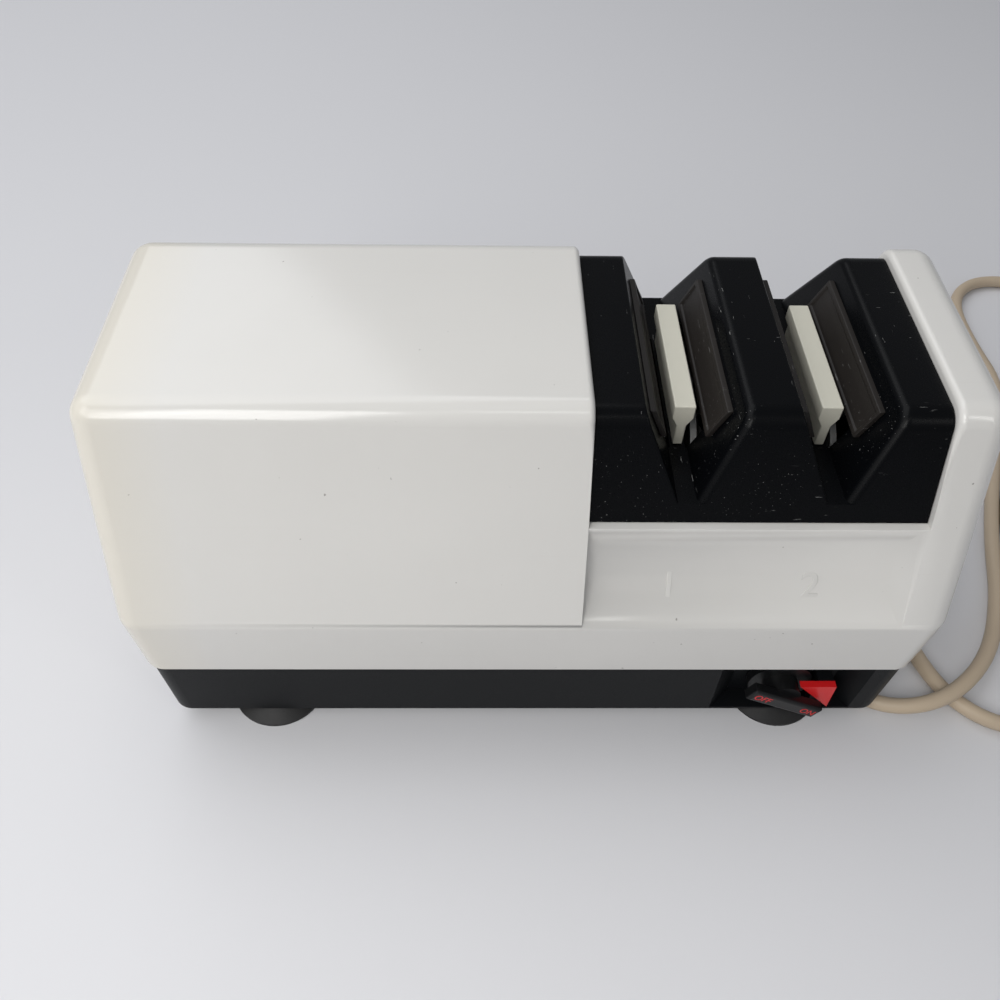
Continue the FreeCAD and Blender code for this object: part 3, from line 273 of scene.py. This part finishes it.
# %% Plain finishes
finish = {
    "black_abs": moulded("black_module", (0.0018, 0.0021, 0.0027), 0.30, drift=0.1, bump=0.06, specular=0.10),
    "charcoal_abs": moulded("charcoal_base", (0.0055, 0.0062, 0.0072), 0.42, bump=0.15, specular=0.10),
    "foot_rubber": moulded("foot_rubber", (0.012, 0.012, 0.0125), 0.55, bump=0.2, specular=0.4),
    "cream_nylon": moulded("cream_guide", (0.60, 0.585, 0.50), 0.42, drift=0.03),
    "magnet_brown": moulded("magnet_plate", (0.0135, 0.0112, 0.0098), 0.50, drift=0.25, bump=0.3,
                            specular=0.35),
    "switch_black": moulded("switch_black", (0.0060, 0.0062, 0.0068), 0.36, specular=0.35),
    "indicator_red": moulded("indicator_red", (0.66, 0.012, 0.014), 0.38),
    "steel": moulded("ground_steel", (0.50, 0.50, 0.51), 0.30, metallic=1.0),
    "cast_alloy": moulded("cast_alloy", (0.52, 0.52, 0.52), 0.50, bump=0.3, grain_scale=900.0, metallic=1.0),
    "bronze": moulded("blade_brass", (0.72, 0.56, 0.32), 0.25, metallic=1.0),
    "copper": moulded("enamelled_copper", (0.62, 0.27, 0.12), 0.30, metallic=1.0),
    "abrasive_steel": moulded("diamond_grit", (0.30, 0.30, 0.30), 0.55, bump=0.8, grain_scale=2500.0,
                              metallic=1.0),
    "cord_beige": moulded("cord_beige", (0.50, 0.405, 0.295), 0.48, drift=0.06),
}
print(len(finish), "plain finishes")

# %% [markdown]
# ## The white shell's finish
# The shell is glossy and old: a warm white that has yellowed a little towards its left end,
# with faint hair scratches and a few dark specks ground in. The yellowing is a ramp along
# X, the scratches are a noise stretched 260 to one and cut near its peak, and the specks
# are the rare peaks of a fine noise. Drawing each scratch as a mesh would cost thousands
# of faces and look no better.

# %% White shell
SHELL_WHITE = (0.658, 0.647, 0.621)
YELLOWED = (0.675, 0.640, 0.560, 1)
YELLOW_FROM, YELLOW_TO = -85*MM, -107*MM
SPECK_COLOUR = (0.10, 0.085, 0.07, 1)
SCRATCH_COLOUR = (0.62, 0.60, 0.57, 1)
SCRATCH_STRETCH, SCRATCH_TURN = (1, 260, 260), (0.1, 0.25, 0.5)
white = moulded("white_shell", SHELL_WHITE, 0.15, grain=0.03, drift=0.012, bump=0.02)
items, wires = white.node_tree.nodes, white.node_tree.links
place = items.new("ShaderNodeTexCoord")
split = items.new("ShaderNodeSeparateXYZ")
wires.new(place.outputs["Object"], split.inputs["Vector"])
along = items.new("ShaderNodeMapRange")
along.inputs["From Min"].default_value, along.inputs["From Max"].default_value = YELLOW_FROM, YELLOW_TO
wires.new(split.outputs["X"], along.inputs["Value"])
overlay(white, along.outputs["Result"], YELLOWED)
overlay(white, peaks(items, wires, noise(items, wires, 620.0, 1.0), 0.80, 0.02, 0.55), SPECK_COLOUR)
hairs = noise(items, wires, 6.0, 2.0, SCRATCH_STRETCH, SCRATCH_TURN)
overlay(white, peaks(items, wires, hairs, 0.70, 0.04, 0.30), SCRATCH_COLOUR)
finish["white_abs"] = white
print(len(items), "nodes in the white finish")

# %% [markdown]
# ## Lint on the black module
# The black module and its plates have gathered lint: short pale fibres that lie any way.
# Two noises, each stretched a different way and cut close to the peak, leave short strokes
# that cross, and a coarse noise with each of them keeps only those in scattered patches.

# %% Lint
LINT_COLOUR = (0.42, 0.42, 0.41, 1)
FIBRE_SCALE, PATCH_SCALE = 230.0, 34.0
FIBRE_WAYS = (((0.3, 0.2, 0.7), (1, 9, 9)), ((1.1, 0.6, -0.5), (9, 1, 9)))  # turn, stretch


def lint(material, strength, cut):
    """Short crossing fibres over a dark finish; a higher cut leaves fewer."""
    items, wires = material.node_tree.nodes, material.node_tree.links
    for turn, stretch in FIBRE_WAYS:
        strokes = peaks(items, wires, noise(items, wires, FIBRE_SCALE, 3.0, stretch, turn), cut, 0.025, strength)
        patches = peaks(items, wires, noise(items, wires, PATCH_SCALE, 2.0, turn=turn), 0.50, 0.10)
        overlay(material, multiplied(items, wires, strokes, patches), LINT_COLOUR)


lint(finish["black_abs"], 0.55, 0.705)
lint(finish["magnet_brown"], 0.25, 0.69)

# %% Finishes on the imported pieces
for part in frame["record"]["subparts"]:
    piece = nodes[part["node"]]
    piece.data.materials.clear()
    piece.data.materials.append(finish[part["material_slot"]])
print("finishes on every node")

# %% [markdown]
# ## Softer edges on the shell
# The real shell was moulded in one shot, so the edges of its bay and of the scooped panel are
# softly rounded, and each draws a thin line of light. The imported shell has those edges
# sharp. A copy of its mesh is merged, its flat faces are joined back into single faces,
# and the bevel operator rounds only the edges that lie on the sides of the bay.

# %% Mesh helpers
MERGE_GAP = 0.002*MM
FLAT_ENOUGH = math.radians(0.4)


def merged_copy(node):
    """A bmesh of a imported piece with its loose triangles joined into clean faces."""
    build = bmesh.new()
    build.from_mesh(nodes[node].data)
    bmesh.ops.remove_doubles(build, verts=build.verts, dist=MERGE_GAP)
    bmesh.ops.dissolve_limit(build, angle_limit=FLAT_ENOUGH, verts=build.verts, edges=build.edges)
    return build


def bevelled(build, edges, offset, segments, clamp=True):
    """Round the given edges of a bmesh."""
    bmesh.ops.bevel(build, geom=edges, offset=offset, offset_type="OFFSET", segments=segments, profile=0.5,
                    affect="EDGES", clamp_overlap=clamp, material=-1)


def sharper(build, degrees):
    """The edges of a bmesh that turn by more than an angle."""
    return [edge for edge in build.edges if edge.calc_face_angle(0) > math.radians(degrees)]


def settled(item, body, replaces=()):
    """Let a new piece ride on a body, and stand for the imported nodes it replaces."""
    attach(item, body)
    if replaces:
        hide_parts(*replaces)
    return item


def finished(name, build, slot, replaces, smooth=32):
    """Turn a bmesh into a piece of the housing with its finish and even shading."""
    mesh = bpy.data.meshes.new(name)
    build.to_mesh(mesh)
    build.free()
    mesh.materials.append(finish[slot])
    for face in mesh.polygons:
        face.use_smooth = True
    mesh.set_sharp_from_angle(angle=math.radians(smooth))
    item = link(bpy.data.objects.new(name, mesh))
    shading = item.modifiers.new("even_shading", "WEIGHTED_NORMAL")
    shading.keep_sharp = True
    print(name, len(mesh.polygons), "faces")
    return settled(item, "housing", replaces)


# %% Shell
module_low, module_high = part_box("guide_housing")
FIT_GAP = 0.3*MM
BAY_SIDES = (module_low.x - FIT_GAP, module_high.x + FIT_GAP)
BAY_FLOOR = module_low.z - FIT_GAP
ABOVE_LIP = BAY_FLOOR + 0.4*MM
ON_WALL = 0.05*MM
SHELL_EDGE = 1.6*MM


def on_bay_side(edge):
    """True for an edge on one of the bay's two sides, above the lip."""
    ends = edge.verts
    side = any(all(abs(vert.co.x - wall) < ON_WALL for vert in ends) for wall in BAY_SIDES)
    return side and min(vert.co.z for vert in ends) > ABOVE_LIP


shell = merged_copy("upper_cover")
rounded = [edge for edge in sharper(shell, 35) if len(edge.link_faces) == 2 and on_bay_side(edge)]
bevelled(shell, rounded, SHELL_EDGE, 4, clamp=False)
shell_piece = finished("white_shell", shell, "white_abs", ["upper_cover"])
print(len(rounded), "bay edges rounded")

# %% [markdown]
# ## Numerals on the panel
# The two stages are numbered by plain raised numerals on the scooped panel, white on white.
# Text made into a mesh is the simplest way to get clean figures. Each is laid on the panel
# where a ray from the front meets it, and tipped to the slope there.

# %% Text helpers
shell_tree = BVHTree.FromObject(shell_piece, bpy.context.evaluated_depsgraph_get())


CAPITAL_SHARE = 0.7  # height of a figure as a share of the font's size
RAY_START = -200*MM
ACROSS = Vector((1, 0, 0))


def figure(name, text, height, depth, body, slot, matrix, round_off=0.0):
    """Text as a mesh, stood at a matrix, with its place in its mesh."""
    curve = bpy.data.curves.new(name, "FONT")
    curve.body = text
    curve.size = height/CAPITAL_SHARE
    curve.extrude = depth
    curve.bevel_depth = round_off
    curve.align_x = "CENTER"
    curve.align_y = "CENTER"
    flat = bpy.data.objects.new(name + "_text", curve)
    mesh = bpy.data.meshes.new_from_object(flat)
    bpy.data.objects.remove(flat)
    mesh.transform(matrix)
    mesh.materials.clear()
    mesh.materials.append(finish[slot])
    print(name, len(mesh.polygons), "faces")
    settled(link(bpy.data.objects.new(name, mesh)), body)


def on_front(x, z):
    """Place on the shell's front at a height, with X right, Y up the slope and Z outward."""
    spot, normal, _, _ = shell_tree.ray_cast(Vector((x, RAY_START, z)), Vector((0, 1, 0)))
    up_slope = normal.cross(ACROSS)
    return Matrix.Translation(spot) @ Matrix((ACROSS, up_slope, normal)).transposed().to_4x4()


# %% Numerals
NUMERAL_HEIGHT, NUMERAL_MIDDLE = 7.2*MM, 64*MM
NUMERAL_RAISE, NUMERAL_ROUND = 0.15*MM, 0.1*MM
for text, x in (("1", 33.4*MM), ("2", 69.3*MM)):
    figure(f"stage_{text}", text, NUMERAL_HEIGHT, NUMERAL_RAISE, "housing", "white_abs",
           on_front(x, NUMERAL_MIDDLE), NUMERAL_ROUND)

# %% [markdown]
# ## Framed magnet plates
# Each slanted guide plate is a thin tray: a raised rim with a sunk face that the blade
# slides on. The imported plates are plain, so a copy of each gets its large face inset and
# pushed in. The face is found by its area and by which way it looks.

# %% Magnet plates
RIM_WIDTH, RIM_SLOPE, RIM_DEPTH = 1.1*MM, 0.25*MM, 0.45*MM
PLATE_EDGE = 0.2*MM


def framed_plate(node, middle):
    """Plate with a raised rim round the face that looks at the blade."""
    build = merged_copy(node)
    toward = 1 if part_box(node)[0].x < middle else -1
    face = max((face for face in build.faces if face.normal.x*toward > 0.3), key=lambda face: face.calc_area())
    bmesh.ops.inset_region(build, faces=[face], thickness=RIM_WIDTH, depth=0, use_even_offset=True)
    bmesh.ops.inset_region(build, faces=[face], thickness=RIM_SLOPE, depth=-RIM_DEPTH, use_even_offset=True)
    bevelled(build, sharper(build, 60), PLATE_EDGE, 2)
    finished(node.replace("guide", "plate"), build, "magnet_brown", [node])


for number in (1, 2):
    low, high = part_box(f"center_guide_{number}")
    for side in ("left", "right"):
        framed_plate(f"magnet_guide_{number}_{side}", (low.x + high.x)/2)

# %% [markdown]
# ## Crisp centre guides
# The cream bar in the middle of each notch looks like solid nylon: a flat top with crisp,
# barely broken edges, and a shoulder that narrows to a stem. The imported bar's top edges
# are rounder than that, so its outline is drawn again as one face, extruded along the bar
# and lightly bevelled. An extruded outline keeps the long faces flat.

# %% Centre guides
GUIDE_EDGE = 0.35*MM
STEM_HALF = 1.2*MM
SHOULDER_DEPTH, NECK_DEPTH = 4.0*MM, 6.5*MM


def guide_bar(number):
    """Centre guide of one stage, extruded from its end outline."""
    low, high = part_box(f"center_guide_{number}")
    middle, half = (low.x + high.x)/2, (high.x - low.x)/2
    neck, shoulder = high.z - NECK_DEPTH, high.z - SHOULDER_DEPTH
    outline = [(-STEM_HALF, low.z), (STEM_HALF, low.z), (STEM_HALF, neck), (half, shoulder), (half, high.z),
               (-half, high.z), (-half, shoulder), (-STEM_HALF, neck)]
    build = bmesh.new()
    end = build.faces.new([build.verts.new((middle + across, low.y, height)) for across, height in outline])
    made = bmesh.ops.extrude_face_region(build, geom=[end])["geom"]
    bmesh.ops.translate(build, verts=[item for item in made if isinstance(item, bmesh.types.BMVert)],
                        vec=(0, high.y - low.y, 0))
    bmesh.ops.recalc_face_normals(build, faces=build.faces)
    bevelled(build, sharper(build, 30), GUIDE_EDGE, 3)
    finished(f"guide_bar_{number}", build, "cream_nylon", [f"center_guide_{number}"])


for number in (1, 2):
    guide_bar(number)

# %% [markdown]
# ## Ribbed strain relief and plug
# A mains lead leaves its housing through a tapered rubber sleeve, ribbed so that it bends
# evenly, and the same sleeve is moulded on the plug. Both are turned shapes, so a stepped
# profile is spun once round the lead's own line.

# %% Turned rubber
SPIN_STEPS = 40
SPIN_MERGE = 0.001*MM
CORD_SKIN = 2.45*MM
RIB_RISE = 0.55*MM
ROUND_SMOOTH = 50  # degrees: steeper turns stay sharp on turned rubber


def spun(profile, middle=(0, 0, 0)):
    """Bmesh of a profile of (along Y, radius) pairs spun about a line along Y."""
    build = bmesh.new()
    verts = [build.verts.new((radius, along, 0)) for along, radius in profile]
    edges = [build.edges.new(pair) for pair in zip(verts, verts[1:])]
    bmesh.ops.spin(build, geom=verts + edges, cent=(0, 0, 0), axis=(0, 1, 0), angle=math.tau, steps=SPIN_STEPS,
                   use_merge=True)
    bmesh.ops.remove_doubles(build, verts=build.verts, dist=SPIN_MERGE)
    bmesh.ops.recalc_face_normals(build, faces=build.faces)
    bmesh.ops.translate(build, verts=build.verts, vec=middle)
    return build


def ribs(start, end, thick, thin, count):
    """Profile of a tapering sleeve with raised ribs."""
    points = []
    pitch = (end - start)/count
    for rib in range(count):
        crest = thick + (thin - thick)*rib/(count - 1)
        for share, drop in ((0, RIB_RISE), (0.18, 0), (0.62, 0), (0.80, RIB_RISE)):
            points.append((start + (rib + share)*pitch, crest - drop))
    return points


# %% Strain relief
relief_low, relief_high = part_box("strain_relief")
relief_middle = ((relief_low.x + relief_high.x)/2, 0, (relief_low.z + relief_high.z)/2)
SLEEVE_LENGTH = 23*MM
RELIEF_RIBS = 7
wall = relief_high.y - SLEEVE_LENGTH
# From the flange inside the wall, through the hole, to the collar outside it.
profile = [(relief_low.y, 0), (relief_low.y, 6.3*MM), (wall - 3.4*MM, 6.3*MM), (wall - 3.4*MM, 4.3*MM),
           (wall + 0.1*MM, 4.3*MM), (wall + 0.1*MM, 6.0*MM), (wall + 1.6*MM, 6.0*MM), (wall + 2.2*MM, 5.1*MM)]
profile += ribs(wall + 3.2*MM, relief_high.y - 1.2*MM, 4.9*MM, 3.5*MM, RELIEF_RIBS)
profile += [(relief_high.y, 3.0*MM), (relief_high.y, CORD_SKIN), (relief_high.y - 2*MM, 0)]
relief_piece = finished("relief_sleeve", spun(profile, relief_middle), "cord_beige", ["strain_relief"],
                        smooth=ROUND_SMOOTH)

# %% Plug
NECK = 11*MM
NECK_RIBS = 4
LEAD_HEIGHT = 7.8*MM  # of the lead's own line, where it enters the plug
TAPER_ACROSS, TAPER_HIGH = 0.72, 0.80
GRIP_ROUND = 2.4*MM
PANEL_INSET, PANEL_SINK, PANEL_AREA = 2.2*MM, 0.7*MM, 150*MM*MM
plug_low, plug_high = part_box("plug_body")
middle_x, middle_y = (plug_low.x + plug_high.x)/2, (plug_low.y + plug_high.y)/2
grip_low, grip_high = plug_low.x, plug_high.x - NECK + 1*MM
plug = bmesh.new()
bmesh.ops.create_cube(plug, size=1)
bmesh.ops.scale(plug, verts=plug.verts,
                vec=(grip_high - grip_low, plug_high.y - plug_low.y, plug_high.z - plug_low.z))
bmesh.ops.translate(plug, verts=plug.verts,
                    vec=((grip_low + grip_high)/2, middle_y, (plug_low.z + plug_high.z)/2))
for vert in plug.verts:
    if vert.co.x > middle_x:
        vert.co.y = middle_y + (vert.co.y - middle_y)*TAPER_ACROSS
        vert.co.z = LEAD_HEIGHT + (vert.co.z - LEAD_HEIGHT)*TAPER_HIGH
bevelled(plug, plug.edges[:], GRIP_ROUND, 5)
panels = [face for face in plug.faces if abs(face.normal.z) > 0.9 and face.calc_area() > PANEL_AREA]
bmesh.ops.inset_individual(plug, faces=panels, thickness=PANEL_INSET, depth=-PANEL_SINK)
print(len(panels), "grip panels sunk")

# %% Plug's sleeve
sleeve = [(-NECK + 0.5*MM, 0), (-NECK + 0.5*MM, 4.8*MM)]
sleeve += ribs(-NECK + 1*MM, -1*MM, 4.9*MM, 3.4*MM, NECK_RIBS)
sleeve += [(0, 2.9*MM), (0, CORD_SKIN), (-1.5*MM, 0)]
neck = spun(sleeve)
bmesh.ops.rotate(neck, verts=neck.verts, cent=(0, 0, 0), matrix=Matrix.Rotation(math.radians(-90), 3, "Z"))
bmesh.ops.translate(neck, verts=neck.verts, vec=(plug_high.x, middle_y, LEAD_HEIGHT))
neck_mesh = bpy.data.meshes.new("neck")
neck.to_mesh(neck_mesh)
neck.free()
plug.from_mesh(neck_mesh)
bpy.data.meshes.remove(neck_mesh)
plug_piece = finished("plug_grip", plug, "cord_beige", ["plug_body"], smooth=ROUND_SMOOTH)

# %% [markdown]
# ## The mains lead
# A lead is a fixed length of something springy. It leaves the strain relief at the rear,
# swings round the right end of the body, lies in one long loop beside it, dips back
# under the front corner and ends in a neat coil behind. Its middle line is one NURBS
# spline through control points in the order the lead runs.

# %% The lead's route, in millimetres
LIES = 2.4  # height of the middle line where the lead lies on the table
CORD_RADIUS = LIES*MM
EXIT = (70, 73.3, 18)
ROUTE = [(70, 86, 18), (71, 100, 9.5), (76.5, 115, 2.4), (91, 130, 2.4), (112.5, 130.5, 2.4), (128, 116, 2.4),
         (131.5, 82, 2.4), (125, 36, 2.4), (120.5, -8, 2.4), (125.5, -39, 2.4), (140, -54, 2.4), (160, -54, 2.4),
         (174, -40, 2.4), (172, -12, 2.4), (169, 12, 2.4), (179, 42, 2.4), (203, 73, 2.4), (231, 105, 2.4),
         (242, 130, 2.4), (240.5, 150, 2.4), (226.5, 165, 2.4), (207, 164, 2.4), (194, 149, 2.4), (193, 122, 2.4),
         (196, 92, 2.4), (178, 52, 2.4), (165, 18, 2.4), (158, -9, 2.4), (142.5, -35.5, 8.6), (123.7, -49.3, 7.4),
         (105.3, -47.4, 2.4), (93.3, -33.7, 2.4), (93, -8, 2.4), (97, 20, 2.4), (98, 45, 2.4),
         (90, 64, 2.4), (70, 72, 2.4), (50, 70.5, 2.4), (37, 70, 2.4)]
COIL_MIDDLE = (25, 103)
COIL_RADIUS = 33
COIL_PITCH = 5.6
COIL_LAYER = 5.4
COIL_TURNS = 4
COIL_STEPS = 16
CLIMB_TURNS = 0.5
PLUG_LEAD = 27
print(len(ROUTE), "points from the exit to the coil")


# %% Coil and curve
def coil_points():
    """Control points of the put-away coil: in along one layer, up, and out again."""
    points = []
    for step in range(COIL_TURNS*COIL_STEPS + 1):
        turn = step/COIL_STEPS
        angle = -math.pi/2 - math.tau*turn
        reach = COIL_RADIUS - COIL_PITCH*min(turn, COIL_TURNS - turn)
        climb = min(max((turn - COIL_TURNS/2)/CLIMB_TURNS + 0.5, 0), 1)
        height = LIES + COIL_LAYER*(3*climb**2 - 2*climb**3)
        points.append((COIL_MIDDLE[0] + reach*math.cos(angle), COIL_MIDDLE[1] + reach*math.sin(angle), height))
    return points


def nurbs(name, points, radius):
    """A round tube on one open NURBS spline, straight out of its first point."""
    data = bpy.data.curves.new(name, "CURVE")
    data.dimensions = "3D"
    spline = data.splines.new("NURBS")
    spline.points.add(len(points) - 1)
    for point, spot in zip(spline.points, points):
        point.co = (*(value*MM for value in spot), 1)
    spline.order_u = 3
    spline.use_endpoint_u = True
    spline.resolution_u = 8
    data.bevel_depth = radius
    data.bevel_resolution = 5
    data.use_fill_caps = True
    return link(bpy.data.objects.new(name, data))


lead_points = [EXIT] + ROUTE + coil_points()
lead_points.append((COIL_MIDDLE[0] - PLUG_LEAD, COIL_MIDDLE[1] - COIL_RADIUS, LIES + COIL_LAYER))
lead = nurbs("mains_lead", lead_points, CORD_RADIUS)
lead.data.materials.append(finish["cord_beige"])
settled(lead, "housing", ("power_cord", "cord_coil"))
print(len(lead_points), "control points")


# %% Length of the lead
def line_length(points):
    """Length of the smooth line that the control points make."""
    bare = nurbs("measure", points, 0)
    bare.data.use_fill_caps = False
    mesh = bpy.data.meshes.new_from_object(bare)
    spots = [vertex.co.copy() for vertex in mesh.vertices]
    bpy.data.objects.remove(bare)
    return sum((b - a).length for a, b in zip(spots, spots[1:]))


lead_length = line_length(lead_points)
print("lead", round(lead_length, 3), "m")

# %% [markdown]
# ## The switch's words
# The bar of the switch carries small red words, ON by the pointer and OFF at the other
# end. They are thin enough to read as paint, but they are geometry, because a texture
# painted on the bar would need an image. Each is turned with the bar's tilt.

# %% Switch words
knob_low, knob_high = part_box("switch_knob")
KNOB_MIDDLE = Vector(((knob_low.x + knob_high.x)/2, knob_low.y, (knob_low.z + knob_high.z)/2))
BAR_TILT = math.radians(-28)
BAR_REACH = 8.4*MM
WORD_HEIGHT, WORD_RAISE = 2.3*MM, 0.06*MM
facing_front = Matrix.Rotation(math.radians(90), 4, "X")
for text, side in (("OFF", -1), ("ON", 1)):
    spot = KNOB_MIDDLE + side*BAR_REACH*Vector((math.cos(BAR_TILT), 0, math.sin(BAR_TILT)))
    turn = Matrix.Translation(spot) @ facing_front @ Matrix.Rotation(BAR_TILT, 4, "Z")
    figure(f"word_{text.lower()}", text, WORD_HEIGHT, WORD_RAISE, "knob", "indicator_red", turn)
